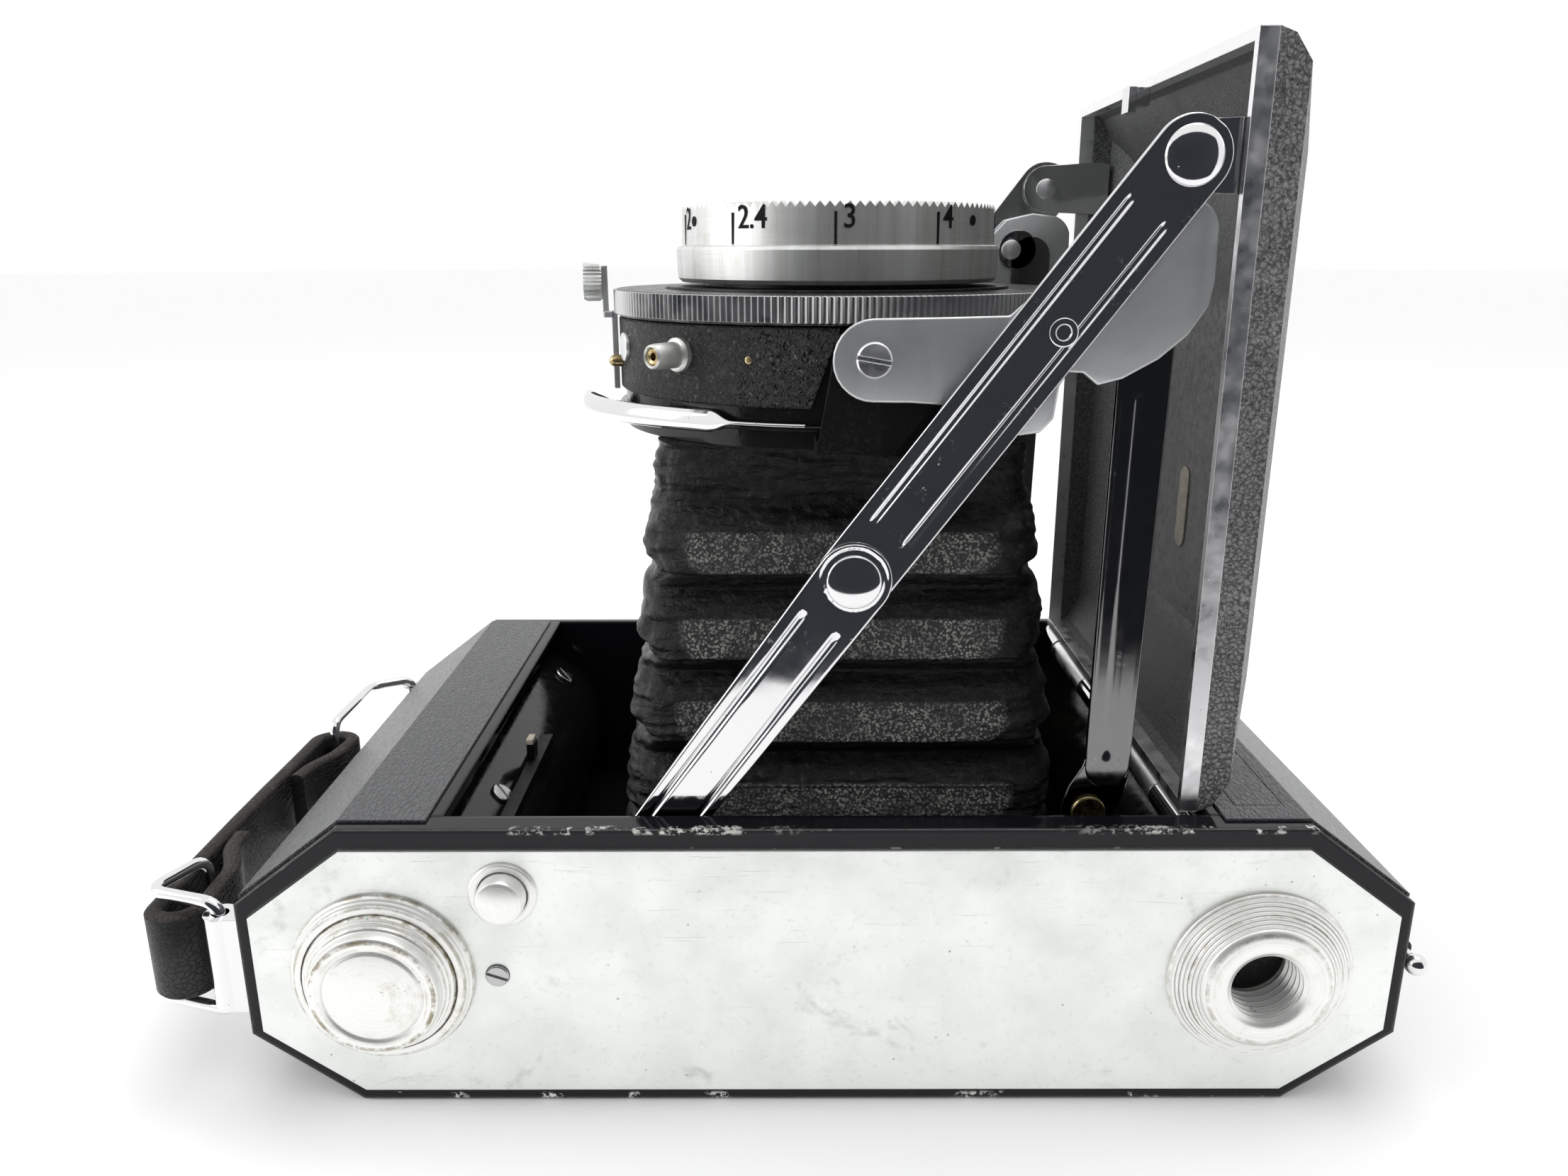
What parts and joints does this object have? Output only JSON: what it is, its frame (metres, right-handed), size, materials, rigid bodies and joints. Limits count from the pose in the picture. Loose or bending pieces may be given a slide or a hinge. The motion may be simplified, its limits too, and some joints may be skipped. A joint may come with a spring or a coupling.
{
  "type": "folding camera",
  "caption": "Roll-film folding camera lying on its back, drop-bed door open, leather bellows and shutter with lens held out by folding struts.",
  "frame": {"origin": "centre of the back's flat resting face, with the camera lying on its back", "axes": "+Z along the lens axis away from the back; +Y towards the camera's top; +X towards the end where the front door is hinged"},
  "size_m": [0.1505, 0.0996, 0.1186],
  "materials": {
    "black_enamel": "gloss",
    "satin_silver": "satin",
    "chrome": "polished",
    "satin_nickel": "satin",
    "steel": "brushed",
    "black_leather": "grained",
    "bellows_leather": "wrinkled",
    "strap_leather": "worn",
    "black_crinkle": "crinkle paint",
    "worn_grey_paint": "matte, worn",
    "matte_black_paint": "matte",
    "brushed_aluminium": "brushed",
    "brass": "aged",
    "optical_glass": "coated",
    "red_window": "clear red",
    "black_plastic": "gloss"
  },
  "bodies": {
    "chassis": {"body_shell": "black_enamel", "end_walls": "black_enamel", "front_frame": "black_enamel", "film_chamber": "matte_black_paint", "bottom_plate": "satin_silver", "bottom_screws": "steel", "tripod_socket": "brushed_aluminium", "bottom_collars": "brushed_aluminium", "side_leathers": "black_leather", "top_housing": "satin_silver", "finder_glass": "optical_glass", "accessory_shoe": "satin_silver", "linkage_anchors": "brass", "door_hinge_pin": "chrome", "strap_lugs": "chrome", "strap_rings": "chrome", "carry_strap": "strap_leather", "back_hinge_pin": "chrome", "bellows": "bellows_leather"},
    "film_key": {"film_knob": "brushed_aluminium"},
    "door_release": {"door_button": "brushed_aluminium", "door_catch": "steel"},
    "winder": {"wind_knob": "brushed_aluminium", "takeup_spool": "black_plastic"},
    "release_button": {"body_release": "chrome"},
    "back": {"back_cover": "matte_black_paint", "back_leather": "black_leather", "red_window": "red_window", "pressure_springs": "steel"},
    "window_cover": {"window_slide": "satin_nickel"},
    "latch": {"back_latch": "satin_nickel"},
    "pressure": {"pressure_plate": "matte_black_paint"},
    "door": {"door_pan": "worn_grey_paint", "door_rim": "chrome", "door_leather": "black_leather", "door_latch_hook": "chrome", "door_ears": "chrome", "door_pins": "chrome"},
    "lower_struts": {"lower_strut_near": "chrome", "lower_strut_far": "chrome", "mid_rivets": "chrome"},
    "upper_struts": {"upper_strut_near": "chrome", "upper_strut_far": "chrome", "hollow_rivets": "chrome"},
    "brackets": {"bracket_near": "satin_nickel", "bracket_far": "satin_nickel"},
    "side_arms": {"side_arm_near": "chrome", "side_arm_far": "chrome"},
    "standard": {"standard_plate": "black_enamel", "shutter_housing": "black_crinkle", "lens_barrel": "matte_black_paint", "lens_elements": "optical_glass", "shutter_blades": "steel", "flash_socket": "satin_nickel", "bracket_screws": "steel"},
    "speed": {"speed_ring": "brushed_aluminium"},
    "focus": {"focus_ring": "brushed_aluminium"},
    "aperture": {"aperture_lever": "chrome"},
    "cocking": {"cocking_lever": "chrome"},
    "shutter_release": {"release_lever": "chrome"}
  },
  "joints": [
    {"name": "door_fold", "type": "hinge", "parent": "chassis", "child": "door", "pos_m": [0.0416, 0.001, 0.034], "axis": [0, -1, 0], "range_deg": [0, 90], "deforming": ["bellows"]},
    {"name": "upper_strut_turn", "type": "hinge", "parent": "door", "child": "upper_struts", "pos_m": [0.036, 0.001, 0.107], "axis": [0, -1, 0], "range_deg": [0, 30.5]},
    {"name": "bracket_turn", "type": "hinge", "parent": "upper_struts", "child": "brackets", "pos_m": [0.0243, 0.001, 0.0899], "axis": [0, -1, 0], "range_deg": [0, 46]},
    {"name": "standard_level", "type": "hinge", "parent": "brackets", "child": "standard", "pos_m": [0.005, 0.001, 0.087], "axis": [0, -1, 0], "range_deg": [-166, 0]},
    {"name": "lower_strut_turn", "type": "hinge", "parent": "chassis", "child": "lower_struts", "pos_m": [-0.0251, 0.001, 0.0248], "axis": [0, -1, 0], "range_deg": [-58.6, 0]},
    {"name": "side_arm_turn", "type": "hinge", "parent": "chassis", "child": "side_arms", "pos_m": [0.0313, 0.001, 0.0344], "axis": [0, -1, 0], "range_deg": [0, 93.8]},
    {"name": "focus_turn", "type": "hinge", "parent": "standard", "child": "focus", "pos_m": [0.0024, 0.001, 0.098], "axis": [0, 0, 1], "range_deg": [-110, 160]},
    {"name": "speed_turn", "type": "hinge", "parent": "standard", "child": "speed", "pos_m": [0.0024, 0.001, 0.0918], "axis": [0, 0, 1], "range_deg": [-90, 60]},
    {"name": "aperture_turn", "type": "hinge", "parent": "standard", "child": "aperture", "pos_m": [0.0024, 0.001, 0.0794], "axis": [0, 0, 1], "range_deg": [-30, 14]},
    {"name": "cocking_turn", "type": "hinge", "parent": "standard", "child": "cocking", "pos_m": [0.0024, 0.001, 0.088], "axis": [0, 0, 1], "range_deg": [-35, 0], "stiffness_Nm_per_rad": 0.02},
    {"name": "release_turn", "type": "hinge", "parent": "standard", "child": "shutter_release", "pos_m": [0.0024, 0.001, 0.084], "axis": [0, 0, 1], "range_deg": [-12, 0], "stiffness_Nm_per_rad": 0.02},
    {"name": "film_knob_pull", "type": "slide", "parent": "chassis", "child": "film_key", "axis": [0, -1, 0], "range_m": [0, 0.0065]},
    {"name": "door_button_press", "type": "slide", "parent": "chassis", "child": "door_release", "axis": [0, 1, 0], "range_m": [0, 0.0015], "stiffness_N_per_m": 600},
    {"name": "wind_turn", "type": "hinge", "parent": "chassis", "child": "winder", "pos_m": [0.0506, 0, 0.0176], "axis": [0, 1, 0], "continuous": true},
    {"name": "body_release_press", "type": "slide", "parent": "chassis", "child": "release_button", "axis": [0, -1, 0], "range_m": [0, 0.0018], "stiffness_N_per_m": 400},
    {"name": "back_open", "type": "hinge", "parent": "chassis", "child": "back", "pos_m": [0.0687, 0, 0.0184], "axis": [0, -1, 0], "range_deg": [0, 100]},
    {"name": "window_cover_slide", "type": "slide", "parent": "back", "child": "window_cover", "axis": [0, 1, 0], "range_m": [0, 0.009]},
    {"name": "back_latch_slide", "type": "slide", "parent": "chassis", "child": "latch", "axis": [0, 1, 0], "range_m": [0, 0.003]},
    {"name": "pressure_plate_float", "type": "slide", "parent": "back", "child": "pressure", "axis": [0, 0, -1], "range_m": [0, 0.001], "stiffness_N_per_m": 300, "deforming": ["pressure_springs"]}
  ],
  "couplings": [
    {"joint": "upper_strut_turn", "follows": "door_fold", "ratio": 0.33111},
    {"joint": "bracket_turn", "follows": "door_fold", "ratio": 0.50222},
    {"joint": "standard_level", "follows": "door_fold", "ratio": -1.8333},
    {"joint": "lower_strut_turn", "follows": "door_fold", "ratio": -0.64333},
    {"joint": "side_arm_turn", "follows": "door_fold", "ratio": 1.0333}
  ]
}
